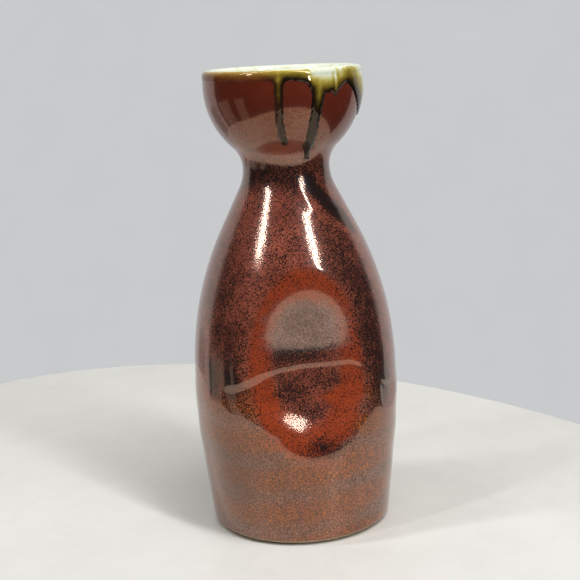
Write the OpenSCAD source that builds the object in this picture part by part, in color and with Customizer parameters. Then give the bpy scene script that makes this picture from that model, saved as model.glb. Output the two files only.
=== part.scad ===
// Stoneware sake bottle: a thrown clay wall with a cup mouth and one pressed
// thumb dimple, under an iron glaze, a liner glaze and an ash glaze on the lip.
// Millimetres, +Z up, origin at the centre of the foot, dimple facing -Y.

/* [Bottle] */
// overall height, from the foot ring to the top of the lip
bottle_h = 165; // [163:0.5:172]
// full wall, clay and both glaze coats together
wall_t = 4; // [3:0.25:5]
// one coat of glaze
glaze_t = 0.5; // [0.3:0.05:0.7]

/* [Body] */
// greatest radius of the body
body_r = 37.2; // [35:0.2:40]
// height of the greatest radius
body_z = 51; // [46:1:56]
// radius of the long arc up the middle of the body
belly_arc_r = 190; // [170:5:220]
// lean of the straight wall above the foot, in degrees
wall_lean = 6.5; // [5.5:0.25:7.5]
// slope at which the shoulder arc takes over, in degrees
shoulder_slope = 5; // [3:0.5:7]
// slope of the straight stretch between shoulder and neck, in degrees
neck_lean = 27; // [25:0.5:29]

/* [Neck and cup] */
// radius at the narrowest point of the neck
neck_r = 15.5; // [14.5:0.25:17]
// height of the narrowest point
neck_z = 130.4; // [127:0.2:132]
// radius of the hollow curve below the narrowest point
neck_low_arc_r = 16; // [13:1:22]
// radius of the hollow curve above it
neck_high_arc_r = 10; // [8:0.5:12]
// greatest radius of the cup
cup_r = 28.1; // [26.5:0.2:30]
// radius of the round side of the cup
cup_arc_r = 29; // [26:0.5:31]

/* [Foot] */
// rounding of the outer corner at the foot
foot_round = 3; // [2:0.5:4]
// height of the bare clay left below the iron glaze
foot_bare_h = 1.3; // [0.8:0.1:1.8]
// radius of the shallow recess inside the foot ring
recess_r = 24; // [18:1:26]
// depth of that recess
recess_h = 1.5; // [0.5:0.25:2.5]
// height of the inside floor above the table
floor_z = 6; // [5:0.5:9]
// rounding inside, where the floor meets the wall
floor_round = 9; // [5:1:14]

/* [Thumb dimple] */
// height of the middle of the dimple
dimple_z = 65.5; // [58:0.5:72]
// greatest depth of the dimple
dimple_depth = 10; // [6:0.5:12]
// radius of the ball that shapes it
dimple_ball_r = 54; // [44:1:70]

/* [Ash glaze] */
// mean height of the lower edge of the rim band, outside
band_z = 160.4; // [159.5:0.1:161.5]
// tilt of that edge, in degrees, lower on the right
band_tilt = 4; // [0:0.5:5]
// height of the lower edge of the rim band, inside the cup
band_inner_z = 154; // [150:1:157]
// how far the runs stand proud of the iron glaze
run_t = 0.5; // [0.3:0.1:0.9]
// how far the runs reach up over the rim band
run_lap = 2; // [1:0.25:3]

/* [Hidden] */

clay = [0.78, 0.68, 0.55];
iron_brown = [0.42, 0.16, 0.10];
liner_cream = [0.80, 0.77, 0.66];
ash_cream = [0.88, 0.85, 0.66];
ash_olive = [0.45, 0.40, 0.12];

// how far a chord of the outline may stray from its arc
arc_tol = 0.02;
$fa = 3;
$fs = 0.6;
wide = 2 * body_r;
slack = 1;

function dir(a) = [cos(a), sin(a)];

// centres of the arcs of the outside, as [radius, height]
belly_c = [body_r - belly_arc_r, body_z];
neck_low_c = [neck_r + neck_low_arc_r, neck_z];
neck_high_c = [neck_r + neck_high_arc_r, neck_z];
cup_c_r = cup_r - cup_arc_r;
cup_rise = sqrt(pow(neck_high_arc_r + cup_arc_r, 2) - pow(neck_high_c.x - cup_c_r, 2));
cup_c = [cup_c_r, neck_z + cup_rise];

// the shoulder arc leaves the belly arc and touches the straight stretch below the neck
shoulder_start = belly_c + belly_arc_r * dir(shoulder_slope);
neck_start = neck_low_c - neck_low_arc_r * dir(neck_lean);
shoulder_arc_r = (neck_start - shoulder_start) * dir(neck_lean)
    / (1 - dir(shoulder_slope) * dir(neck_lean));
shoulder_c = shoulder_start - shoulder_arc_r * dir(shoulder_slope);

// slope at which the hollow of the neck turns into the round of the cup
cup_slope = atan2(-cup_rise, neck_high_c.x - cup_c_r);

// the straight wall above the foot meets the belly arc here
wall_top = belly_c + belly_arc_r * dir(-wall_lean);

// arcs of the outside from the foot up: centre, radius, first and last slope;
// the radius of a hollow arc is negative
ARCS = [
    [belly_c, belly_arc_r, -wall_lean, shoulder_slope],
    [shoulder_c, shoulder_arc_r, shoulder_slope, neck_lean],
    [neck_low_c, -neck_low_arc_r, neck_lean, 0],
    [neck_high_c, -neck_high_arc_r, 0, cup_slope],
    [cup_c, cup_arc_r, cup_slope, 0],
];

// the lip is a half round on the full wall
lip_c = [cup_r - wall_t / 2, bottle_h - wall_t / 2];

dimple_c_y = dimple_depth - body_r - dimple_ball_r;

// streams of ash glaze: turn about the axis, width at the rim, width of the stem,
// width at the end, height of the end
STREAMS = [
    [-12, 6, 2.6, 2.2, 141],
    [14, 11, 5, 2.4, 138],
    [27, 7, 3, 1.4, 155],
    [47, 9, 4, 1.6, 154],
    [66, 10, 5, 3, 147],
];
stem_top = 157;
bead_turn = 12;
bead_r = 1.7;
bead_z = 138.2;

assert(lip_c.y > cup_c.y, "the lip has to stand above the widest part of the cup");
assert(neck_r > wall_t, "the neck has to stay open");
assert(dimple_depth + wall_t < body_r, "the dimple has to stay clear of the axis");

function wall_r(z) = wall_top.x + (z - wall_top.y) * tan(wall_lean);

function steps(r, sweep) = ceil(abs(sweep) / (2 * acos(1 - arc_tol / abs(r))));

// points along an arc moved in by d, without its last one
function arc(c, r, a0, a1, d = 0) = let (n = steps(r, a1 - a0))
    [for (i = [0 : n - 1]) c + (r - d) * dir(a0 + (a1 - a0) * i / n)];

// the rounded corner between a floor and the wall line moved in by d
function corner_line(d, bottom, corner) =
    let (c = [wall_r(bottom + corner) - (corner + d) / cos(wall_lean), bottom + corner])
    concat(arc(c, corner, -90, -wall_lean), [c + corner * dir(-wall_lean)]);

// the outside line moved in by d, from the straight wall to the start of the lip
function wall_line(d) = concat(
    [for (a = ARCS) each arc(a[0], a[1], a[2], a[3], d)],
    [[cup_r - d, cup_c.y], [cup_r - d, lip_c.y]]
);

// the region inside the outside line moved in by d, with its own floor and corner
module inside_line(d, bottom, corner) {
    polygon(concat(
        [[0, bottom]],
        corner_line(d, bottom, corner),
        wall_line(d),
        [[0, lip_c.y]]
    ));
}

// the turned solid inside that line, with the dimple pressed into it
module pressed(d, bottom, corner) {
    difference() {
        rotate_extrude() inside_line(d, bottom, corner);
        translate([0, dimple_c_y, dimple_z]) sphere(dimple_ball_r + d);
    }
}

module outside_of(d) {
    pressed(d, 0, foot_round);
}

module inside_of(d) {
    pressed(wall_t - d, floor_z - d, floor_round + d);
}

// the half-round lip; t is taken off all round
module lip(t) {
    rotate_extrude() translate(lip_c) circle(wall_t / 2 - t);
}

// everything below the tilted lower edge of the rim band
module below_band() {
    translate([0, 0, band_z]) rotate([0, band_tilt, 0])
        translate([0, 0, -bottle_h]) cylinder(h = bottle_h, r = wide);
}

module stoneware_body() {
    color(clay) difference() {
        union() {
            outside_of(glaze_t);
            lip(glaze_t);
        }
        inside_of(glaze_t);
        translate([0, 0, floor_z]) cylinder(h = slack, r = neck_r - wall_t);
        translate([0, 0, -slack]) cylinder(h = slack + recess_h, r = recess_r);
    }
}

module iron_glaze() {
    color(iron_brown) intersection() {
        difference() {
            outside_of(0);
            outside_of(glaze_t);
            translate([0, 0, -slack]) cylinder(h = slack + foot_bare_h, r = wide);
        }
        below_band();
    }
}

module liner_glaze() {
    color(liner_cream) difference() {
        inside_of(glaze_t);
        inside_of(0);
        translate([0, 0, band_inner_z]) cylinder(h = bottle_h, r = wide);
    }
}

module rim_glaze() {
    color(ash_cream) difference() {
        union() {
            difference() {
                outside_of(0);
                outside_of(glaze_t);
                below_band();
            }
            difference() {
                inside_of(glaze_t);
                inside_of(0);
                cylinder(h = band_inner_z, r = wide);
            }
            lip(0);
        }
        lip(glaze_t);
    }
}

// the thin space outside the iron glaze that the runs fill
module run_skin() {
    intersection() {
        rotate_extrude() difference() {
            inside_line(-run_t, 0, foot_round);
            inside_line(0, 0, foot_round);
        }
        translate([0, 0, neck_z]) cylinder(h = band_z + run_lap - neck_z, r = wide);
    }
}

// a stream seen from the front: a funnel at the rim, a stem and a round end
module stream_outline(rim_w, stem_w, end_w, end_z) {
    half = [[rim_w / 2, bottle_h], [stem_w / 2, max(stem_top, end_z + slack)], [end_w / 2, end_z]];
    polygon(concat(half, [for (i = [2 : -1 : 0]) [-half[i].x, half[i].y]]));
    translate([0, end_z]) circle(end_w / 2);
}

module towards_front(turn) {
    rotate([0, 0, turn]) rotate([90, 0, 0]) linear_extrude(wide) children();
}

module glaze_runs() {
    color(ash_olive) intersection() {
        run_skin();
        union() {
            for (s = STREAMS)
                towards_front(s[0]) stream_outline(s[1], s[2], s[3], s[4]);
            towards_front(bead_turn) translate([0, bead_z]) circle(bead_r);
        }
    }
}

stoneware_body();
iron_glaze();
liner_glaze();
rim_glaze();
glaze_runs();
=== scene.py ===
"""A stoneware sake bottle on a round pale table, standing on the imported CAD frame."""
from math import ceil, cos, radians, sin, sqrt, tan

import bpy
import numpy as np
from mathutils import Matrix, Vector


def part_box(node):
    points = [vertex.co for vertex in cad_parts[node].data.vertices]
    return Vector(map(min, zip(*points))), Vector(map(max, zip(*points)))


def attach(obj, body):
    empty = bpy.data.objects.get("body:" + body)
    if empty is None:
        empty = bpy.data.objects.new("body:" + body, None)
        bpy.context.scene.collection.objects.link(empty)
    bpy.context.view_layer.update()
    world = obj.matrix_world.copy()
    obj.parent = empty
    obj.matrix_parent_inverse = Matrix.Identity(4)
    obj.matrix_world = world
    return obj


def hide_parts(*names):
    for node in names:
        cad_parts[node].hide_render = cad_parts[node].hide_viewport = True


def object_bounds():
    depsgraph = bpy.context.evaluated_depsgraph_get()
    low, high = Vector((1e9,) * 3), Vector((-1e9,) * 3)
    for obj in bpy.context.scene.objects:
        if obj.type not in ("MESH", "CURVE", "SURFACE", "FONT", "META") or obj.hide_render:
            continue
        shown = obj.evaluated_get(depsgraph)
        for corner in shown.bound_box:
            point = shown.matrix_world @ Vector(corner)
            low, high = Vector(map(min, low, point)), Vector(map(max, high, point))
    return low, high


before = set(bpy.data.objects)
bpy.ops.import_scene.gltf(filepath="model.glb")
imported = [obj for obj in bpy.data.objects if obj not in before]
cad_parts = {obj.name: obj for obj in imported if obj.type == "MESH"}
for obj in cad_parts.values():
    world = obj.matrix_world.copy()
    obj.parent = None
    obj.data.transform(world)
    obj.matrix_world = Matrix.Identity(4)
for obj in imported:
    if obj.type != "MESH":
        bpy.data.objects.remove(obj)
CAD_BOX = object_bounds()

# ---------------------------------------------------------------- sizes, in millimetres and degrees
# A turn is degrees round the axis, seen from above: 0 faces -Y and positive turns face +X.
MM = 0.001
# the CAD's own sizes; the two radii stay a hair inside its box
HEIGHT = CAD_BOX[1].z / MM
BODY_R = CAD_BOX[1].x / MM - 0.1
CUP_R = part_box("rim_glaze")[1].x / MM - 0.05
FOOT_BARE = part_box("iron_glaze")[0].z / MM
WALL = 4.0
GLAZE = 0.5

BODY_Z = 51.0
BELLY_ARC = 190.0
WALL_LEAN = 6.5
SHOULDER_SLOPE = 5.0
NECK_LEAN = 27.0
NECK_R = 15.5
NECK_Z = 130.4
NECK_LOW_ARC = 16.0
NECK_HIGH_ARC = 10.0
CUP_ARC = 29.0
FOOT_ROUND = 3.0
RECESS_R = 24.0
RECESS_H = 1.5
FLOOR_Z = 6.0
FLOOR_ROUND = 9.0
# how far under the lip's half round the liner ends and the ash glaze starts
LINER_TOP = 8.0

# the thumb dimple: its lower half lies a little left of -Y and fades out more softly than the upper
DIMPLE_Z = 66.1
DIMPLE_UP = 33.1
DIMPLE_DOWN = 46.0
DIMPLE_LOW_TURN = -2.2
# sizes of its lower and its upper half, and the heights between which one passes into the other
DIMPLE_DEPTH = (12.4, 8.4)
DIMPLE_LEFT = (38.5, 48.7)
DIMPLE_RIGHT = (53.7, 44.1)
DIMPLE_RIM = (3.72, 1.63)
DIMPLE_BLEND = (41.3, 53.3)

# the ring of thin glaze round it
RING_TURN = -3.0
RING_Z = 65.5
RING_HALF_H = 34.5
RING_HALF_TURN = 36.5

# throwing ridges: a crest every RIDGE_GAP, and how deep the hollows between them are
RIDGE_Z = 49.0
RIDGE_GAP = 15.0
RIDGE_DEPTH = 0.16
# the wall is a little out of round
WARP = 0.12

# one sharper ledge, left by a finger, arches across the dimple: the wall steps in just under it
LEDGE = [(-60, 56), (-46, 57.6), (-37, 60.0), (-30, 62.2), (-21, 63.6), (-7, 64.2), (14, 64.2), (26, 64.6),
         (33, 62.4), (40, 57.5), (47, 54.5), (60, 53)]
LEDGE_DEPTH = 0.24
LEDGE_HALF = 1.0
LEDGE_FADE = 13.0

# a thick tongue of glaze slants down from the neck to the right: where its edge is at FLOW_END, how much
# further left the edge starts for each mm above, how wide its slope is, and how proud it stands
FLOW_END = 116.5
FLOW_EDGE = 14.0
FLOW_SLANT = 1.33
FLOW_WIDTH = 14.0
FLOW_RISE = 0.37

# columns round the axis, and the spacing of points up the outer glaze and along the other skins
COLUMNS = 256
STEP = 0.65
COARSE_STEP = 1.1


# ---------------------------------------------------------------- the outline
def direction(a):
    """The unit vector a degrees above straight out."""
    return np.array([cos(radians(a)), sin(radians(a))])


def arc(centre, radius, start, stop, inset=0.0):
    """Points and outward normals along an arc moved in by inset; a hollow arc's radius is negative."""
    count = max(2, ceil(abs(radius * radians(stop - start)) / 0.2))
    a = np.radians(np.linspace(start, stop, count + 1))
    normal = np.stack([np.cos(a), np.sin(a)], 1)
    return np.asarray(centre) + (radius - inset) * normal, normal


BELLY_C = np.array([BODY_R - BELLY_ARC, BODY_Z])
NECK_LOW_C = np.array([NECK_R + NECK_LOW_ARC, NECK_Z])
NECK_HIGH_C = np.array([NECK_R + NECK_HIGH_ARC, NECK_Z])
CUP_RISE = sqrt((NECK_HIGH_ARC + CUP_ARC) ** 2 - (NECK_HIGH_C[0] - CUP_R + CUP_ARC) ** 2)
CUP_C = np.array([CUP_R - CUP_ARC, NECK_Z + CUP_RISE])
CUP_SLOPE = -np.degrees(np.arctan2(CUP_RISE, NECK_HIGH_C[0] - CUP_C[0]))
SHOULDER_START = BELLY_C + BELLY_ARC * direction(SHOULDER_SLOPE)
NECK_START = NECK_LOW_C - NECK_LOW_ARC * direction(NECK_LEAN)
SHOULDER_ARC = ((NECK_START - SHOULDER_START) @ direction(NECK_LEAN)
                / (1 - direction(SHOULDER_SLOPE) @ direction(NECK_LEAN)))
SHOULDER_C = SHOULDER_START - SHOULDER_ARC * direction(SHOULDER_SLOPE)
WALL_TOP = BELLY_C + BELLY_ARC * direction(-WALL_LEAN)
LIP_C = np.array([CUP_R - WALL / 2, HEIGHT - WALL / 2])


def wall_radius(z):
    """Radius of the straight, leaning wall above the foot."""
    return WALL_TOP[0] + (z - WALL_TOP[1]) * tan(radians(WALL_LEAN))


def joined(*runs):
    """Several runs of points and normals as one."""
    points = np.concatenate([r[0] for r in runs])
    normals = np.concatenate([r[1] for r in runs])
    return points, normals


def wall_line(inset):
    """The wall from above the foot to the start of the lip, moved in by inset."""
    level = (np.array([[CUP_R - inset, LIP_C[1]]]), np.array([[1.0, 0.0]]))
    return joined(
        arc(BELLY_C, BELLY_ARC, -WALL_LEAN, SHOULDER_SLOPE, inset),
        arc(SHOULDER_C, SHOULDER_ARC, SHOULDER_SLOPE, NECK_LEAN, inset),
        arc(NECK_LOW_C, -NECK_LOW_ARC, NECK_LEAN, 0, inset),
        arc(NECK_HIGH_C, -NECK_HIGH_ARC, 0, CUP_SLOPE, inset),
        arc(CUP_C, CUP_ARC, CUP_SLOPE, 0, inset),
        level,
    )


def corner_line(inset, bottom, corner):
    """The round corner between a floor and the wall moved in by inset."""
    level = bottom + corner
    centre = [wall_radius(level) - (corner + inset) / cos(radians(WALL_LEAN)), level]
    return arc(centre, corner, -90, -WALL_LEAN)


def reverse(run, facing=1):
    """The same run backwards; facing -1 turns its normals over."""
    return run[0][::-1], facing * run[1][::-1]


def spaced(run, step):
    """The same line with points an even step apart."""
    points, normals = run
    length = np.r_[0, np.cumsum(np.hypot(*np.diff(points, axis=0).T))]
    keep = np.r_[True, np.diff(length) > 1e-6]
    points, normals, length = points[keep], normals[keep], length[keep]
    at = np.linspace(0, length[-1], max(2, ceil(length[-1] / step)) + 1)
    even = np.stack([np.interp(at, length, c) for c in points.T], 1)
    facing = np.stack([np.interp(at, length, c) for c in normals.T], 1)
    return even, facing / np.linalg.norm(facing, axis=1, keepdims=True)


def between(run, low, high):
    """The stretch of a rising line between two heights, with its ends cut to length."""
    points, normals = run
    z = points[:, 1]
    inner = (z > low) & (z < high)
    at = np.r_[low, z[inner], high]
    return (np.stack([np.interp(at, z, points[:, 0]), at], 1),
            np.stack([np.interp(at, z, normals[:, i]) for i in (0, 1)], 1))


OUTSIDE = joined(corner_line(0, 0, FOOT_ROUND), wall_line(0))
LIP = arc(LIP_C, WALL / 2, 0, 180)


# ---------------------------------------------------------------- turning the outline round
def smoothstep(low, high, x):
    t = np.clip((x - low) / (high - low), 0, 1)
    return t * t * (3 - 2 * t)


def along(knots, x):
    """The height at x on a line through (x, height) knots."""
    x0, y0 = np.array(knots, float).T
    return np.interp(x, x0, y0)


def bell(x, middle, half):
    """1 at the middle, falling smoothly to 0 at half either side."""
    return np.clip(1 - ((x - middle) / half) ** 2, 0, 1) ** 2


def ring_reach(turn, z):
    """0 in the middle of the dimple and 1 at the outer edge of the thin ring round it."""
    return np.hypot((turn - RING_TURN) / RING_HALF_TURN, (z - RING_Z) / RING_HALF_H)


def dimple(turn, z):
    """Depth of the thumb dimple, its lower half blended smoothly into its upper half."""
    upper = smoothstep(*DIMPLE_BLEND, z)
    side = turn - DIMPLE_LOW_TURN * (1 - upper)
    halves = (DIMPLE_DEPTH, DIMPLE_LEFT, DIMPLE_RIGHT, DIMPLE_RIM)
    depth, left, right, rim = (low + (high - low) * upper for low, high in halves)
    half_turn = np.where(side < 0, left, right)
    half_height = np.where(z > DIMPLE_Z, DIMPLE_UP, DIMPLE_DOWN)
    reach = np.hypot(side / half_turn, (z - DIMPLE_Z) / half_height)
    return depth * np.clip(1 - reach ** 2, 0, 1) ** rim


def flow(turn, z):
    """How proud the thick tongue of glaze stands; it bends the highlight that crosses it."""
    edge = FLOW_EDGE - FLOW_SLANT * (z - FLOW_END)
    across = np.clip(1 + (turn - edge) / FLOW_WIDTH, 0, 1) ** 2 * smoothstep(60, 30, turn)
    return FLOW_RISE * across * smoothstep(FLOW_END - 1.2, FLOW_END + 0.8, z) * smoothstep(131, 122, z)


def ledge(turn, z):
    """How deep the finger's ledge is; it is broader at both ends and fades out once on the right."""
    turn = np.broadcast_to(turn, np.broadcast_shapes(turn.shape, z.shape))
    under = z - along(LEDGE, turn)
    half = LEDGE_HALF * (1 + 0.9 * smoothstep(-24, -36, turn) + 1.1 * smoothstep(36, 45, turn))
    step = smoothstep(half, -half, under) * smoothstep(-LEDGE_FADE, -1.5, under)
    strength = (1 - bell(turn, 37, 9)) * smoothstep(-58, -46, turn) * smoothstep(64, 54, turn)
    return LEDGE_DEPTH * (half / LEDGE_HALF) * step * strength


def pressed_in(turn, r, z):
    """How far the thumb and the throwing moved the wall in, in millimetres."""
    press = dimple(turn, z) - flow(turn, z)
    wave = np.cos(2 * np.pi * (z - RIDGE_Z) / RIDGE_GAP + 0.3 * np.sin(np.radians(turn)))
    ridges = RIDGE_DEPTH / 2 * (1 - wave) * bell(z, 42, 40)
    flats = WARP * (1 + np.sin(2 * np.radians(turn) + z / 21)) * bell(z, 75, 75)
    return (press + ridges + ledge(turn, z) + flats) * smoothstep(4, 16, r)


def swept(points, columns=COLUMNS):
    """The outline's points turned round the axis: an array [point, column, xyz] in metres."""
    turn = np.linspace(-180, 180, columns, endpoint=False)[None, :]
    r, z = points[:, 0:1], points[:, 1:2]
    out = r - pressed_in(turn, r, z)
    a = np.radians(turn)
    return np.stack([out * np.sin(a), -out * np.cos(a), np.broadcast_to(z, out.shape)], 2) * MM


# ---------------------------------------------------------------- meshes
def mesh_object(name, points, faces, material, attributes=None):
    """A smooth-shaded object from points in metres, with its marks as point attributes."""
    mesh = bpy.data.meshes.new(name)
    mesh.from_pydata(points.tolist(), [], faces)
    mesh.validate()
    mesh.polygons.foreach_set("use_smooth", [True] * len(mesh.polygons))
    for key, values in (attributes or {}).items():
        layer = mesh.attributes.new(key, "FLOAT", "POINT")
        layer.data.foreach_set("value", np.asarray(values, np.float32).ravel())
    mesh.materials.append(material)
    obj = bpy.data.objects.new(name, mesh)
    bpy.context.scene.collection.objects.link(obj)
    return obj


def ring_faces(rows, columns, closed):
    """Quads between rows of a swept grid; closed joins the last row to the first."""
    faces = []
    for i in range(rows if closed else rows - 1):
        a, b = i * columns, (i + 1) % rows * columns
        for j in range(columns):
            k = (j + 1) % columns
            faces.append((a + j, a + k, b + k, b + j))
    return faces


def sheet_faces(rows, columns):
    """Quads of a grid that is open on all four sides."""
    faces = []
    for i in range(rows - 1):
        for j in range(columns - 1):
            a, b = i * columns + j, (i + 1) * columns + j
            faces.append((a, b, b + 1, a + 1))
    return faces


def hollow_mesh(name, line, material, marks):
    """A closed skin: line is a loop of the section, turned all the way round."""
    points = swept(line).reshape(-1, 3)
    return mesh_object(name, points, ring_faces(len(line), COLUMNS, True), material, marks(line))


def capped_mesh(name, line, material):
    """A closed solid whose section line starts and ends on the axis."""
    grid = swept(line[1:-1])
    rows, last = len(line) - 2, (len(line) - 2) * COLUMNS
    points = np.concatenate([grid.reshape(-1, 3), [[0, 0, line[0, 1] * MM], [0, 0, line[-1, 1] * MM]]])
    faces = ring_faces(rows, COLUMNS, False)
    top = (rows - 1) * COLUMNS
    for j in range(COLUMNS):
        k = (j + 1) % COLUMNS
        faces.append((last, k, j))
        faces.append((last + 1, top + j, top + k))
    return mesh_object(name, points, faces, material)


def placed(obj, node):
    """Fixes a piece to the bottle's one body, in place of a node of the CAD, whose part it hides."""
    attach(obj, "root")
    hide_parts(node)


# ---------------------------------------------------------------- material helpers
class Nodes:
    """Builds a material's node tree with short calls."""

    def __init__(self, name):
        self.material = bpy.data.materials.new(name)
        self.material.use_nodes = True
        self.tree = self.material.node_tree
        self.tree.nodes.clear()
        self.shader = self.tree.nodes.new("ShaderNodeBsdfPrincipled")
        output = self.tree.nodes.new("ShaderNodeOutputMaterial")
        self.tree.links.new(self.shader.outputs[0], output.inputs[0])
        self.place = self.tree.nodes.new("ShaderNodeTexCoord").outputs["Object"]

    def put(self, socket, value):
        """Links an output to a socket, or sets the socket to a plain value."""
        if hasattr(value, "is_output"):
            self.tree.links.new(value, socket)
        else:
            socket.default_value = value

    def set(self, **values):
        """Sets or links the shader's own sockets, named in lower case."""
        for key, value in values.items():
            self.put(self.shader.inputs[key.replace("_", " ").title().replace("Ior", "IOR")], value)

    def noise(self, size_mm, detail=2.0, rough=0.5, stretch=None, shift=0.0):
        """Noise from 0 to 1 whose grains are about size_mm across."""
        node = self.tree.nodes.new("ShaderNodeTexNoise")
        node.inputs["Scale"].default_value = 1 / (size_mm * MM)
        node.inputs["Detail"].default_value = detail
        node.inputs["Roughness"].default_value = rough
        move = self.tree.nodes.new("ShaderNodeMapping")
        move.inputs["Location"].default_value = (shift, shift, shift)
        move.inputs["Scale"].default_value = stretch or (1, 1, 1)
        self.put(move.inputs["Vector"], self.place)
        self.put(node.inputs["Vector"], move.outputs[0])
        return node.outputs["Fac"]

    def mark(self, key):
        """One of the mesh's point attributes."""
        node = self.tree.nodes.new("ShaderNodeAttribute")
        node.attribute_name = key
        return node.outputs["Fac"]

    def math(self, operation, a, b=0.0, clamp=False):
        node = self.tree.nodes.new("ShaderNodeMath")
        node.operation, node.use_clamp = operation, clamp
        self.put(node.inputs[0], a)
        self.put(node.inputs[1], b)
        return node.outputs[0]

    def step(self, value, low, high):
        """0 below low, 1 above high and smooth between."""
        node = self.tree.nodes.new("ShaderNodeMapRange")
        node.interpolation_type = "SMOOTHSTEP"
        self.put(node.inputs["Value"], value)
        self.put(node.inputs["From Min"], low)
        self.put(node.inputs["From Max"], high)
        return node.outputs[0]

    def mix(self, share, a, b):
        """Colour a where share is 0 and b where it is 1."""
        node = self.tree.nodes.new("ShaderNodeMix")
        node.data_type = "RGBA"
        colours = [s for s in node.inputs if s.type == "RGBA"]
        self.put(node.inputs[0], share)
        for socket, colour in zip(colours, (a, b)):
            self.put(socket, (*colour, 1.0) if isinstance(colour, tuple) else colour)
        return next(s for s in node.outputs if s.type == "RGBA")

    def ramp(self, value, stops):
        """A colour for each value, from (value, colour) stops."""
        node = self.tree.nodes.new("ShaderNodeValToRGB")
        elements = node.color_ramp.elements
        while len(elements) < len(stops):
            elements.new(0.5)
        for element, (at, colour) in zip(elements, stops):
            element.position, element.color = at, (*colour, 1.0)
        self.put(node.inputs["Fac"], value)
        return node.outputs["Color"]

    def bump(self, height, depth_mm, strength=1.0, under=None):
        """A normal from a height of 0 to 1; under is a coarser bump that it lies on."""
        node = self.tree.nodes.new("ShaderNodeBump")
        node.inputs["Strength"].default_value = strength
        node.inputs["Distance"].default_value = depth_mm * MM
        self.put(node.inputs["Height"], height)
        if under is not None:
            self.put(node.inputs["Normal"], under)
        return node.outputs[0]


# ---------------------------------------------------------------- materials
# black: iron crystals, and two painted dark reflections left of the dimple
IRON_AND_REFLECTION_BLACK = (0.012, 0.006, 0.006)
RUST = (0.37, 0.090, 0.050)
RUST_DEEP = (0.23, 0.052, 0.029)
ORANGE = (0.34, 0.048, 0.013)
# brown low on the wall: partly the glaze's own, partly painted reflection of the table
OCHRE_BROWN = (0.52, 0.125, 0.018)
# grey: partly ash bloom, partly painted reflection of the table
GREY_BLOOM_AND_REFLECTION = (0.215, 0.176, 0.164)
CUP_RED = (0.122, 0.014, 0.005)
# what the iron glaze mirrors is reddened by the crystals in it; dimmer in fine specks on the cup
GLAZE_TINT = (1.0, 0.60, 0.42)
LOW_TINT = (0.92, 0.48, 0.31)
CUP_TINT = (1.0, 0.53, 0.30)
CUP_TINT_DIM = (0.40, 0.17, 0.08)


# black specks fade in where the grain passes this limit, which is lower where the iron is dark
SPECK_LIMIT = 0.575
SPECK_SOFT = 0.13


def iron_body(m, cloud, patch, grain):
    """The glaze between its specks: rust; brown low down, partly painted reflection of the table; orange
    where thin; grey, partly ash bloom and partly painted reflection of the table.
    """
    low, grey = m.mark("low"), m.mark("grey")
    brushed = m.noise(15, 7, 0.72, stretch=(1, 1, 2.4), shift=9.0)
    body = m.mix(m.step(cloud, 0.35, 0.65), RUST_DEEP, RUST)
    body = m.mix(m.math("MULTIPLY", low, m.step(patch, 0.3, 0.55)), body, OCHRE_BROWN)
    thin = m.math("ADD", m.mark("thin"), m.math("MULTIPLY", m.math("SUBTRACT", cloud, 0.5), 0.5))
    body = m.mix(m.step(thin, 0.25, 0.8), body, ORANGE)
    # grey in bands low down and in the arch at the top of the dimple: partly ash bloom, partly painted
    # reflection of the table
    bloom_and_reflection = m.math("ADD", grey, m.math("MULTIPLY", m.math("SUBTRACT", brushed, 0.5), 1.8))
    bloom_and_reflection = m.math("MULTIPLY", m.step(bloom_and_reflection, 0.0, 1.0), m.step(grey, 0.0, 0.3))
    bloom_and_reflection = m.math("MULTIPLY", bloom_and_reflection, m.math("ADD", 0.35, m.math("MULTIPLY", grain, 0.9)))
    body = m.mix(bloom_and_reflection, body, GREY_BLOOM_AND_REFLECTION)
    return m.mix(m.math("MULTIPLY", m.mark("smooth"), 0.9), body, CUP_RED)


def iron_specks(m, body, patch, grain):
    """The body colour with black iron crystals in it, thick where the glaze is dark and in two painted dark
    reflections.
    """
    coarse = m.noise(1.0, 2, 0.6, shift=3.0)
    dark = m.math("ADD", m.mark("dark"), m.math("MULTIPLY", m.math("SUBTRACT", patch, 0.5), 1.1))
    dark = m.math("SUBTRACT", dark, m.math("MULTIPLY", m.mark("thin"), 0.6))
    mixed = m.math("ADD", m.math("MULTIPLY", grain, 0.8), m.math("MULTIPLY", coarse, 0.2))
    limit = m.math("SUBTRACT", SPECK_LIMIT, m.math("MULTIPLY", dark, 0.12))
    speck = m.step(mixed, m.math("SUBTRACT", limit, SPECK_SOFT), m.math("ADD", limit, SPECK_SOFT))
    for key, fewer in (("smooth", 0.8), ("low", 0.05)):
        speck = m.math("MULTIPLY", speck, m.math("SUBTRACT", 1.0, m.math("MULTIPLY", m.mark(key), fewer)))
    colour = m.mix(m.math("MULTIPLY", m.step(dark, 0.4, 1.6), 0.4), body, IRON_AND_REFLECTION_BLACK)
    return m.mix(speck, colour, IRON_AND_REFLECTION_BLACK)


def iron_tint(m, grain):
    """What the glaze does to the colours that it mirrors."""
    smooth = m.mark("smooth")
    tint = m.mix(smooth, m.mix(m.mark("low"), GLAZE_TINT, LOW_TINT), CUP_TINT)
    return m.mix(m.math("MULTIPLY", m.step(grain, 0.4, 0.6), smooth), tint, CUP_TINT_DIM)


def iron_glaze_material():
    m = Nodes("iron_glaze")
    cloud = m.noise(9, 3, 0.6)
    patch = m.noise(4, 2, 0.5, shift=5.0)
    grain = m.noise(0.46, 1, 0.5)
    colour = iron_specks(m, iron_body(m, cloud, patch, grain), patch, grain)
    rough = m.math("ADD", 0.01, m.math("MULTIPLY", grain, 0.04))
    crystals = m.math("MULTIPLY", grain, m.math("ADD", 0.3, m.math("MULTIPLY", m.mark("crystals"), 0.8)))
    relief = m.bump(crystals, 0.03, 1.0, m.bump(m.noise(3.5, 1, 0.5), 0.04, 0.22))
    m.set(base_color=colour, roughness=rough, normal=relief, ior=2.25,
          specular_tint=iron_tint(m, grain), coat_weight=0.6, coat_roughness=0.24)
    return m.material


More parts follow.
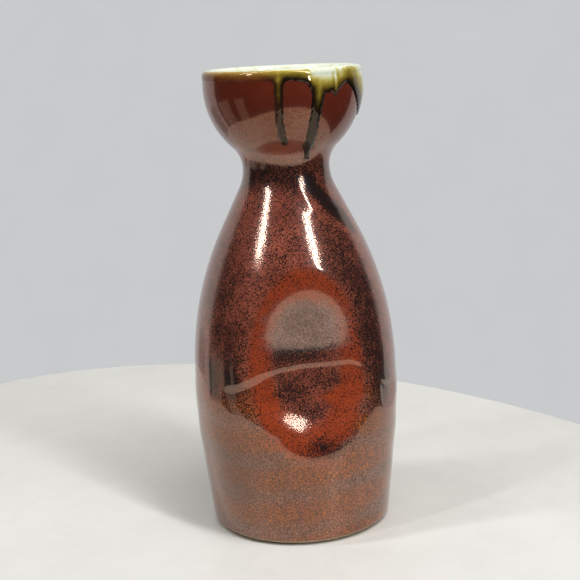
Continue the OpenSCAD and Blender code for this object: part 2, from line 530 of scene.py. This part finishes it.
# the ash glaze from its edge to where it is thickest; it is amber rather than black on the left and behind
ASH_COOL = [(0.0, (0.010, 0.006, 0.004)), (0.12, (0.022, 0.012, 0.004)), (0.24, (0.10, 0.062, 0.008)),
            (0.42, (0.26, 0.180, 0.022)), (0.62, (0.44, 0.34, 0.060)), (0.82, (0.62, 0.55, 0.25)),
            (1.0, (0.74, 0.75, 0.60))]
ASH_WARM = [(0.0, (0.15, 0.036, 0.012)), (0.15, (0.17, 0.055, 0.014)), (0.35, (0.26, 0.120, 0.024)),
            (0.60, (0.42, 0.27, 0.07)), (0.85, (0.50, 0.40, 0.16)), (1.0, (0.62, 0.60, 0.42))]


def ash_glaze_material():
    """Cream where it is thick, yellow and olive towards its edge, black where it meets the iron."""
    m = Nodes("ash_glaze")
    wander = m.math("MULTIPLY", m.math("SUBTRACT", m.noise(2.2, 2, 0.5), 0.5), 0.45)
    depth = m.math("ADD", m.mark("depth"), m.math("MULTIPLY", wander, m.mark("depth")))
    colour = m.mix(m.mark("warm"), m.ramp(depth, ASH_COOL), m.ramp(depth, ASH_WARM))
    relief = m.bump(m.noise(2.2, 2, 0.5), 0.04, 0.4)
    m.set(base_color=colour, roughness=0.05, normal=relief, ior=1.65, specular_tint=(0.8, 0.6, 0.45, 1))
    return m.material


def liner_material():
    """A cream glaze with sparse brown specks."""
    m = Nodes("liner_glaze")
    cloud = m.noise(7, 3, 0.6)
    speck = m.step(m.noise(1.1, 2, 0.6), 0.66, 0.72)
    colour = m.mix(speck, m.mix(cloud, (0.56, 0.57, 0.44), (0.70, 0.71, 0.60)), (0.22, 0.15, 0.07))
    m.set(base_color=colour, roughness=m.math("ADD", 0.1, m.math("MULTIPLY", cloud, 0.1)),
          normal=m.bump(m.noise(2.5, 2), 0.04, 0.5), ior=1.6)
    return m.material


def stoneware_material():
    """Bare, sandy, buff clay."""
    m = Nodes("stoneware")
    sand = m.noise(0.35, 3, 0.7)
    cloud = m.noise(6, 2)
    colour = m.mix(cloud, (0.50, 0.37, 0.22), (0.62, 0.50, 0.34))
    colour = m.mix(m.step(sand, 0.60, 0.70), colour, (0.25, 0.14, 0.07))
    m.set(base_color=colour, roughness=m.math("ADD", 0.75, m.math("MULTIPLY", sand, 0.2)),
          normal=m.bump(sand, 0.12, 0.8))
    return m.material


def table_material():
    """A pale, half matt table top with faint veins."""
    m = Nodes("table")
    cloud = m.noise(60, 4, 0.6)
    vein = m.step(m.math("ABSOLUTE", m.math("SUBTRACT", m.noise(45, 4, 0.6, shift=7.0), 0.5)), 0.0, 0.06)
    colour = m.mix(cloud, (0.63, 0.585, 0.525), (0.75, 0.705, 0.64))
    colour = m.mix(m.math("MULTIPLY", m.math("SUBTRACT", 1.0, vein), 0.06), colour, (0.40, 0.37, 0.33))
    m.set(base_color=colour, roughness=m.math("ADD", 0.28, m.math("MULTIPLY", cloud, 0.2)), ior=1.45)
    return m.material


def glowing_material(name, colour, strength):
    """An evenly lit cloth or card, which glows by itself so that its tone doesn't hang on the lamps."""
    m = Nodes(name)
    shade = tuple(c * 0.94 for c in colour)
    tone = m.mix(m.noise(60, 3), shade, colour)
    m.set(base_color=(0.05, 0.05, 0.05, 1), roughness=0.9, emission_color=tone, emission_strength=strength)
    return m.material


# ---------------------------------------------------------------- the bottle
# soft patches of black iron, and two of painted dark reflection: turn, height, half turn, half height,
# strength
DARK_PATCHES = [
    (-52, 68, 20, 24, 0.7), (-72, 96, 24, 30, 0.5), (38, 84, 20, 40, 0.9), (44, 58, 16, 22, 0.7),
    (22, 103, 15, 17, 0.65), (-54, 91, 12, 10, 0.6), (-16, 99, 12, 9, 0.4),
    (-7, 67.8, 28, 5.5, 0.75), (-20, 68, 14, 7, 0.5), (-16, 56, 17, 8, 0.9),
    (10, 58.5, 18, 4, 0.6), (4, 47, 26, 6, 0.5), (3, 36.5, 18, 6, 1.5), (-2, 80, 30, 14, 0.55),
    # (-64, 60) and (-49, 59.5): painted reflections of two dark things beside the table
    (-64, 60, 7, 9, 1.3), (-49, 59.5, 6.5, 8, 1.3), (48, 54, 9, 5.5, 1.2),
    (-56, 24, 28, 22, 0.5), (150, 78, 50, 40, 0.7), (-130, 70, 30, 44, 0.6),
]


# bands of grey below the dimple, partly ash bloom and partly painted reflection of the table: the height of
# one crest and the gap to the next
GREY_BAND_Z = 34.5
GREY_BAND_GAP = 13.8
# the black streak beside the thick tongue: its height at turn 0, and its fall for each degree of turn
STREAK_Z = 131.0
STREAK_FALL = 0.37


def darkness(turn, z, low):
    """How dark the iron is: in patches, two of them painted reflection, round the neck, and along a streak
    at its right.
    """
    dark = 0.4 * smoothstep(140, 132, z) + 0.5 * low
    for middle, height, half_turn, half_height, strength in DARK_PATCHES:
        dark = dark + strength * bell(turn, middle, half_turn) * bell(z, height, half_height)
    neck = bell(z, 128.5, 7.5) * (1 - 0.6 * bell(turn, 33, 14))
    streak = bell(z, STREAK_Z - STREAK_FALL * turn, 6) * smoothstep(8, 18, turn) * smoothstep(62, 50, turn)
    return np.clip(dark + 0.95 * neck + 2.4 * streak, 0, 2.4)


def greyness(turn, z, low):
    """How grey the iron is: in bands low down, partly ash bloom and partly painted reflection of the table,
    and in the arch at the top of the dimple, which is painted reflection of the table.
    """
    wander = 2 * np.sin(np.radians(2 * turn))
    bands = 0.30 + 0.34 * np.cos(2 * np.pi * (z - GREY_BAND_Z - wander) / GREY_BAND_GAP)
    left = 0.10 * smoothstep(-20, -50, turn)
    # painted reflection: the table as mirrored in the down-facing top of the dimple, painted in grey
    painted_table_arch = 1.5 * bell(turn, -2, 37) * bell(z, 76, 16) * smoothstep(67.5, 71, z)
    return np.clip(low * (bands + left) + painted_table_arch, 0, 1)


def iron_marks(line):
    """What the iron glaze is like at every point of its mesh, as numbers that its material reads.

    thin: orange, in the ring and in one swath inside it; low: brown, low on the wall outside the ring,
    partly painted reflection of the table; dark: black, and in two patches painted reflection; grey: partly
    bloom, partly painted reflection of the table; smooth: the even red of the cup; crystals: coarse enough
    to scatter the highlights, on the shoulder and in the lower half of the dimple.
    """
    turn = np.linspace(-180, 180, COLUMNS, endpoint=False)[None, :]
    z = np.broadcast_to(line[:, 1:2], (len(line), COLUMNS))
    reach = ring_reach(turn, z)
    swath = bell(turn, 16, 24) * bell(z, 53, 4.5)
    thin = np.clip(bell(reach, 0.80, 0.32) + 0.8 * swath, 0, 1)
    # low on the wall: brown, partly painted reflection of the table
    low = smoothstep(66, 40, z) * smoothstep(0.85, 1.05, reach)
    smooth = smoothstep(134, 142, z)
    shoulder = smoothstep(62, 80, z) * smoothstep(0.95, 1.15, reach)
    hollow = smoothstep(58, 50, z) * smoothstep(0.9, 0.65, reach)
    crystals = (1.35 * shoulder + 1.7 * hollow) * (1 - smooth)
    return {"thin": thin, "dark": darkness(turn, z, low), "low": low, "smooth": smooth,
            "crystals": crystals, "grey": greyness(turn, z, low)}


def rolled_edge(run, low, high, width, depth):
    """How far the skin falls away towards its two ends, as a quarter round."""
    z = run[0][:, 1]
    t = np.clip(np.minimum(z - low, high - z) / width, 0, 1)
    return depth * (1 - np.sqrt(1 - (1 - t) ** 2))


def skin_loop(low, high, width):
    """Section of the outer glaze: along the outside, and back against the clay."""
    run = between(spaced(OUTSIDE, STEP), low, high)
    fine = np.linspace(0, 1, 5)[1:-1] ** 2 * width
    extra = np.r_[low + fine, high - fine]
    z = np.sort(np.r_[run[0][:, 1], extra])
    run = (np.stack([np.interp(z, run[0][:, 1], run[0][:, 0]), z], 1),
           np.stack([np.interp(z, run[0][:, 1], run[1][:, i]) for i in (0, 1)], 1))
    front = run[0] - run[1] * rolled_edge(run, low, high, width, GLAZE)[:, None]
    back = (run[0] - run[1] * GLAZE)[1:-1][::8][::-1]
    return np.concatenate([front, back])


def iron_glaze():
    """The outer glaze, from just above the foot to just under the lip."""
    line = skin_loop(FOOT_BARE, LIP_C[1] - 0.8, 0.7)
    return hollow_mesh("iron_glaze_skin", line, iron_glaze_material(), iron_marks)


def clay_body():
    """The clay inside the glazes, with its foot ring and the shallow recess under it."""
    outer = joined(corner_line(GLAZE, 0, FOOT_ROUND), wall_line(GLAZE))
    inner = joined(corner_line(WALL - GLAZE, FLOOR_Z - GLAZE, FLOOR_ROUND + GLAZE), wall_line(WALL - GLAZE))
    lip = arc(LIP_C, WALL / 2 - GLAZE, 0, 180)
    section = joined(outer, lip, reverse(inner))
    line = spaced(section, COARSE_STEP)[0]
    foot_r = line[0, 0]
    under = [[0, RECESS_H], [RECESS_R - 1.5, RECESS_H], [RECESS_R - 0.4, RECESS_H * 0.8],
             [RECESS_R, 0.3], [RECESS_R + 0.4, 0], [(RECESS_R + foot_r) / 2, 0], [foot_r - 0.5, 0]]
    return capped_mesh("clay_body", np.concatenate([under, line, [[0, FLOOR_Z - GLAZE]]]),
                       stoneware_material())


def liner_glaze():
    """The glaze on the floor and the inside wall, up to the ash glaze of the cup."""
    top = LIP_C[1] - LINER_TOP
    front = joined(corner_line(WALL, FLOOR_Z, FLOOR_ROUND), wall_line(WALL))
    back = joined(corner_line(WALL - GLAZE, FLOOR_Z - GLAZE, FLOOR_ROUND + GLAZE), wall_line(WALL - GLAZE))
    cut = [spaced(between(run, run[0][0, 1] + 0.001, top), COARSE_STEP)[0] for run in (front, back)]
    line = np.concatenate([[[0, FLOOR_Z - GLAZE]], cut[1], cut[0][::-1], [[0, FLOOR_Z]]])
    return capped_mesh("liner_glaze_skin", line, liner_material())


# ---------------------------------------------------------------- ash glaze on the rim
# lower edge of the band round the rim: (turn in degrees, height in mm)
BAND_EDGE = [(-180, 162.8), (-120, 162.4), (-90, 161.9), (-60, 161.7), (-45, 161.6), (-18, 161.4),
             (-2, 161.2), (5, 160.3), (9, 158), (19, 156.6), (25, 156.9), (28, 155.0), (31.5, 157.4),
             (39.5, 159.7), (47, 156.8), (54, 153), (63, 149), (71, 147.2), (82, 148.5), (96, 155),
             (115, 160.5), (150, 162), (180, 162.8)]
# streams: heights in mm falling, with the turn and the half width at each
RUN_LEFT = [(163, -13.6, 2.8), (160, -13.7, 1.7), (156, -13.9, 1.5), (148, -14.4, 1.35), (143, -13.0, 1.3),
            (140.8, -11.6, 1.3)]
RUN_RIGHT = [(163, 15, 4.4), (158, 14.6, 2.7), (153, 13.4, 2.1), (147, 12.2, 1.9), (141, 12.4, 1.9),
             (138.8, 12.0, 2.0), (136.5, 14.0, 1.0), (133.2, 14.6, 0.9)]
# the black outline's width, how far in the glaze turns from yellow to cream, how proud it stands, how far
# its edge wavers, the radius where streams join, and how deep its underside is sunk in the iron glaze
OUTLINE = 0.45
YELLOW_WIDTH = 5.2
RISE = 0.38
RAGGED = 0.08
JOIN = 0.45
SUNK = 0.3
# the grid that it is cut from, and the height at which the runs are cut from the band
ASH_COLUMNS = 720
ASH_LOW = 134.0
ASH_SPLIT = 158.5


def smoothed(values, count):
    """A rolling mean round the full turn."""
    kernel = np.hanning(count + 2)[1:-1]
    wrapped = np.concatenate([values[-count:], values, values[:count]])
    return np.convolve(wrapped, kernel / kernel.sum(), "same")[count:-count]


def stream_depth(knots, turn, r, z):
    """How far inside a stream a point is, in mm; negative outside."""
    rows = np.array(knots[::-1], float)
    middle = np.interp(z, rows[:, 0], rows[:, 1])
    half = np.interp(z, rows[:, 0], rows[:, 2])
    side = r * np.radians(turn - middle)
    below = np.clip(knots[-1][0] - z, 0, None)
    return half - np.hypot(side, below)


def blended(depths, soft):
    """The greatest of several depths, with their corners rounded."""
    return soft * np.log(sum(np.exp(np.clip(d / soft, -40, 40)) for d in depths))


def ash_depth(turn, r, z):
    """How far inside the edge of the band or of a stream a point is, in mm; negative outside."""
    edge = smoothed(along(BAND_EDGE, turn[0]), 9)[None, :]
    slope = np.gradient(edge[0], np.radians(turn[0]))[None, :] / r
    band = (z - edge) / np.sqrt(1 + slope ** 2)
    runs = [stream_depth(k, turn, r, z) for k in (RUN_LEFT, RUN_RIGHT)]
    ragged = np.sin(1.3 * z + 0.5 * turn) + np.sin(2.7 * z - 0.8 * turn)
    return blended([band, *runs], JOIN) + RAGGED * ragged


def ash_height(depth):
    """How proud the ash glaze stands: a thin black margin, then a round bead."""
    bead = np.clip((depth - OUTLINE * 0.6) / 1.1, 0, 1)
    margin = 0.03 * smoothstep(-OUTLINE * 0.2, OUTLINE * 0.4, depth)
    sunk = 0.12 * smoothstep(OUTLINE * 0.1, -OUTLINE, depth)
    return margin - sunk + RISE * np.sqrt(1 - (1 - bead) ** 2)


def ash_section():
    """The section that the ash glaze lies on, up over the lip and down into the cup.

    Returns its points, its normals and how many of the points are on the outside, below the lip.
    """
    outer = spaced(between(OUTSIDE, ASH_LOW, LIP_C[1]), 0.25)
    lip = spaced(LIP, 0.3)
    inner = spaced(reverse(between(wall_line(WALL), LIP_C[1] - LINER_TOP, LIP_C[1]), -1), 0.6)
    points, normals = joined(outer, (lip[0][1:], lip[1][1:]), (inner[0][1:], inner[1][1:]))
    return points, normals, len(outer[0])


def ash_marks(turn, z, depth, facing_out):
    """How thick the ash glaze is, from 0 at its edge to 1, and where it is amber."""
    thin_side = 1 + 0.9 * smoothstep(36, 50, turn) * smoothstep(-0.3, 0.6, facing_out)
    inward = np.clip((depth - 0.3) / (YELLOW_WIDTH * thin_side), 0, 1)
    thick = inward * (0.14 + 0.86 * smoothstep(148.5, 157.5, z))
    warm = (smoothstep(-9, -32, turn) + smoothstep(95, 130, turn)) * smoothstep(-0.2, 0.5, facing_out)
    return {"depth": np.clip(thick, 0, 1), "warm": np.clip(warm, 0, 1)}


def ash_pieces():
    """The rim band and the runs, cut from one surface so that they meet without a seam."""
    points, normals, outside = ash_section()
    turn = np.linspace(-180, 180, ASH_COLUMNS, endpoint=False)[None, :]
    turn = np.broadcast_to(turn, (len(points), ASH_COLUMNS))
    r, z = points[:, 0:1], points[:, 1:2]
    row = np.arange(len(points))[:, None]
    over = row >= outside
    facing_out = np.where(over, normals[:, 0:1], 1.0)
    depth = ash_depth(turn, r, z)
    depth = np.where(over, np.maximum(depth, 1.0) + 7 * smoothstep(0.75, 0.0, facing_out), depth)
    near_lip = smoothstep(LIP_C[1] - 2.5, LIP_C[1], z) * ~over
    height = np.where(over, 0.0, ash_height(depth)) * (1 - near_lip)
    a = np.radians(turn)

    def lifted(h):
        out, up = r + h * normals[:, 0:1], z + h * normals[:, 1:2]
        return np.stack([out * np.sin(a), -out * np.cos(a), up], 2) * MM

    top, under = lifted(height), lifted(np.minimum(height, 0) - SUNK)
    wet = depth > -OUTLINE * 1.6
    whole = wet & np.roll(wet, -1, 1)
    cell = whole[:-1] & whole[1:]
    in_band = row[:-1] >= np.argmax(points[:, 1] > ASH_SPLIT)
    shared = (surface_normals(top), ash_marks(turn, z, depth, facing_out), ash_glaze_material())
    rim = sheet_solid("ash_glaze_rim", top, under, cell & in_band, *shared)
    runs = sheet_solid("ash_glaze_runs", top, under, cell & ~in_band, *shared)
    return rim, runs


def surface_normals(grid):
    """Unit normals of a grid that closes on itself across its columns."""
    across = np.roll(grid, -1, 1) - np.roll(grid, 1, 1)
    up = np.gradient(grid, axis=0)
    normal = np.cross(across, up)
    return normal / np.linalg.norm(normal, axis=2, keepdims=True)


def sheet_solid(name, top, under, cells, normal, marks, material):
    """A closed solid from the chosen cells of a grid: its top, its underside and the edges between."""
    rows, columns = top.shape[:2]
    index = np.arange(rows * columns).reshape(rows, columns)
    i, j = np.nonzero(cells)
    k = (j + 1) % columns
    quads = np.stack([index[i, j], index[i, k], index[i + 1, k], index[i + 1, j]], 1)
    edges = np.concatenate([quads[:, [n, (n + 1) % 4]] for n in range(4)])
    key = edges[:, 0] * (rows * columns) + edges[:, 1]
    back = edges[:, 1] * (rows * columns) + edges[:, 0]
    rim = edges[~np.isin(key, back)]
    used, local = np.unique(quads, return_inverse=True)
    quads = local.reshape(-1, 4)
    place = np.zeros(rows * columns, int)
    place[used] = np.arange(len(used))
    rim = place[rim]
    n = len(used)
    faces = [*quads.tolist(), *(quads[:, ::-1] + n).tolist()]
    faces += [(b, a, a + n, b + n) for a, b in rim.tolist()]
    flat_top, flat_under = top.reshape(-1, 3)[used], under.reshape(-1, 3)[used]
    values = {mark: np.tile(v.ravel()[used], 2) for mark, v in marks.items()}
    obj = mesh_object(name, np.concatenate([flat_top, flat_under]), faces, material, values)
    facing = normal.reshape(-1, 3)[used]
    obj.data.normals_split_custom_set_from_vertices(np.concatenate([facing, -facing]).tolist())
    return obj


# ---------------------------------------------------------------- table, backdrop and lights
# the camera's turn round the bottle, its distance and height, its tilts, and its lens on a 36 mm sensor
VIEW_TURN = -11.0
CAMERA_AWAY = 430.0
CAMERA_UP = 177.4
CAMERA_PITCH = 12.1
CAMERA_YAW = 0.085
CAMERA_ROLL = 2.65
LENS = 75.16

# the oval table top: its half widths, the turn of its long side, its middle and how round its edge is
TABLE_HALF = (275.0, 186.0)
TABLE_TURN = -61.6
TABLE_AT = (-15.0, -37.0)
TABLE_ROUND = 4.0

# the backdrop's section: how far from the bottle and how high, in mm; it rises from below the table
BACKDROP = [(100, -600), (900, -600), (1100, -560), (1180, -450), (1200, -300), (1200, 1300)]
# the arc of it that this camera sees; the rest shows only in pictures taken from other sides
BACKDROP_SPAN = (-68, 62)
BACKDROP_COLUMNS = 64
BACKDROP_GLOW = 0.58

# pale cards that stand in for what is beside the table: the turns each spans from the camera's, with
# negative ones on its left, their distance, the heights of their edges, and how many points each has a side
CARDS = [(-74, -58), (-108, -86), (-140, -121)]
CARD_AWAY = 900.0
CARD_LOW = -640.0
CARD_TOP = -50.0
CARD_GLOW = 0.32
CARD_GRID = 12

# tall strip lights that lean in over the bottle: turn, lowest and highest elevation, width; and their
# power in watts for each square metre
STRIPS = [(-53, 31, 47, 65), (-77, 46, 82, 45), (40.5, 30, 82, 75), (39, 18, 29, 50)]
STRIP_AWAY = 1100.0
STRIP_POWER = 116.18
STRIP_COLOUR = (0.88, 0.95, 1.0)
# the height on the bottle's axis that every lamp aims at
LAMPS_AIM = 90.0


def from_camera(across, away, up):
    """A place given as across, beyond and above the bottle as the camera sees it, in mm."""
    a = radians(VIEW_TURN)
    return Vector((across * cos(a) - away * sin(a), across * sin(a) + away * cos(a), up)) * MM


def add_camera():
    """The camera where the photo was taken from, as fitted to the bottle's outline."""
    data = bpy.data.cameras.new("camera")
    data.lens, data.sensor_width = LENS, 36
    camera = bpy.data.objects.new("camera", data)
    bpy.context.scene.collection.objects.link(camera)
    turn = Matrix.Rotation(radians(VIEW_TURN + CAMERA_YAW), 4, "Z")
    pitch = Matrix.Rotation(radians(90 - CAMERA_PITCH), 4, "X")
    roll = Matrix.Rotation(radians(-CAMERA_ROLL), 4, "Z")
    camera.matrix_world = Matrix.Translation(from_camera(0, -CAMERA_AWAY, CAMERA_UP)) @ turn @ pitch @ roll
    bpy.context.scene.camera = camera


def add_table():
    """An oval table top with a rounded edge; only the part round the bottle is seen."""
    edge = arc([-TABLE_ROUND, -TABLE_ROUND], TABLE_ROUND, 90, -90)[0][::4]
    sections = [(0.3, 0, 0), (0.7, 0, 0), *[(1, x, z) for x, z in edge], (0.3, 0, -2 * TABLE_ROUND)]
    columns = 192
    a = np.radians(np.linspace(-180, 180, columns, endpoint=False))
    across, along_it = np.cos(a), np.sin(a)
    t = radians(TABLE_TURN)
    points = []
    for share, extra, z in sections:
        x, y = (TABLE_HALF[0] * share + extra) * across, (TABLE_HALF[1] * share + extra) * along_it
        x, y = x * cos(t) - y * sin(t) + TABLE_AT[0], x * sin(t) + y * cos(t) + TABLE_AT[1]
        points += [list(from_camera(u, v, z)) for u, v in zip(x, y)]
    faces = [f[::-1] for f in ring_faces(len(sections), columns, False)]
    faces += [tuple(range(columns)), tuple(range(len(points) - 1, len(points) - 1 - columns, -1))]
    mesh_object("table", np.array(points), faces, table_material())


def add_backdrop():
    """A round room with an evenly lit wall and floor, in two pieces.

    The piece that this camera sees also lights the bottle and is mirrored in it; the other does neither.
    """
    pale = glowing_material("backdrop", (0.96, 0.98, 1.0), BACKDROP_GLOW)
    line = np.array(BACKDROP, float)
    line = spaced((line, line), 60)[0]
    r, z = line[:, 0:1], np.broadcast_to(line[:, 1:2], (len(line), BACKDROP_COLUMNS))
    turn = np.array(Matrix.Rotation(radians(VIEW_TURN), 3, "Z"))
    start, stop = BACKDROP_SPAN
    for name, span, lit in (("backdrop", (start, stop), True), ("room_front", (stop, start + 360), False)):
        a = np.radians(np.linspace(*span, BACKDROP_COLUMNS))[None, :]
        grid = np.stack([r * np.sin(a), r * np.cos(a), z], 2)
        points = grid.reshape(-1, 3) @ turn.T * MM
        wall = mesh_object(name, points, sheet_faces(len(line), BACKDROP_COLUMNS), pale)
        wall.visible_glossy = lit
        wall.visible_diffuse = lit
        wall.visible_shadow = False


def add_cards():
    """Pale cards beside the table, seen only in the glaze; the gaps between them mirror dark."""
    pale = glowing_material("card", (0.96, 0.94, 0.90), CARD_GLOW)
    for number, span in enumerate(CARDS):
        turns = np.radians(np.linspace(*span, CARD_GRID))
        heights = np.linspace(CARD_LOW, CARD_TOP, CARD_GRID)
        grid = [from_camera(CARD_AWAY * sin(a), -CARD_AWAY * cos(a), h) for h in heights for a in turns]
        card = mesh_object(f"card_{number}", np.array(grid), sheet_faces(CARD_GRID, CARD_GRID), pale)
        card.visible_camera = False
        card.visible_diffuse = False
        card.visible_shadow = False


def add_area(name, turn, lift, away, size, power, colour=(1, 1, 1)):
    """A soft light: turn is right of the camera, lift above the horizon, away how far off it is."""
    data = bpy.data.lights.new(name, "AREA")
    data.shape, data.size, data.size_y = "RECTANGLE", size[0] * MM, size[1] * MM
    data.energy, data.color = power, colour
    lamp = bpy.data.objects.new(name, data)
    bpy.context.scene.collection.objects.link(lamp)
    a, e = radians(turn), radians(lift)
    target = from_camera(0, 0, LAMPS_AIM)
    lamp.location = target + from_camera(away * sin(a) * cos(e), -away * cos(a) * cos(e), away * sin(e))
    back = (lamp.location - target).normalized()
    lamp.rotation_euler = back.to_track_quat("Z", "Y").to_euler()
    return lamp


def add_strips():
    """Each strip is a stack of short lamps, all aimed at the bottle."""
    for number, (turn, low, high, width) in enumerate(STRIPS):
        parts = ceil((high - low) / 20)
        each = (high - low) / parts
        length = 2 * STRIP_AWAY * tan(radians(each / 2))
        power = STRIP_POWER * width * length * MM ** 2
        for i in range(parts):
            add_area(f"strip_{number}_{i}", turn, low + each * (i + 0.5), STRIP_AWAY, (width, length),
                     power, STRIP_COLOUR)


def add_lights():
    """A soft overhead light that isn't mirrored, the strips that are, and a dim room."""
    overhead = add_area("overhead", 30, 66, 1200, (800, 800), 5.9)
    overhead.visible_glossy = False
    add_strips()
    world = bpy.data.worlds.new("room")
    world.use_nodes = True
    world.node_tree.nodes["Background"].inputs[0].default_value = (0.035, 0.035, 0.036, 1)
    bpy.context.scene.world = world
    bpy.context.scene.view_settings.view_transform = "Standard"


# ---------------------------------------------------------------- everything
add_camera()
add_table()
add_backdrop()
add_cards()
add_lights()
placed(clay_body(), "stoneware_body")
placed(iron_glaze(), "iron_glaze")
placed(liner_glaze(), "liner_glaze")
rim, runs = ash_pieces()
placed(rim, "rim_glaze")
placed(runs, "glaze_runs")
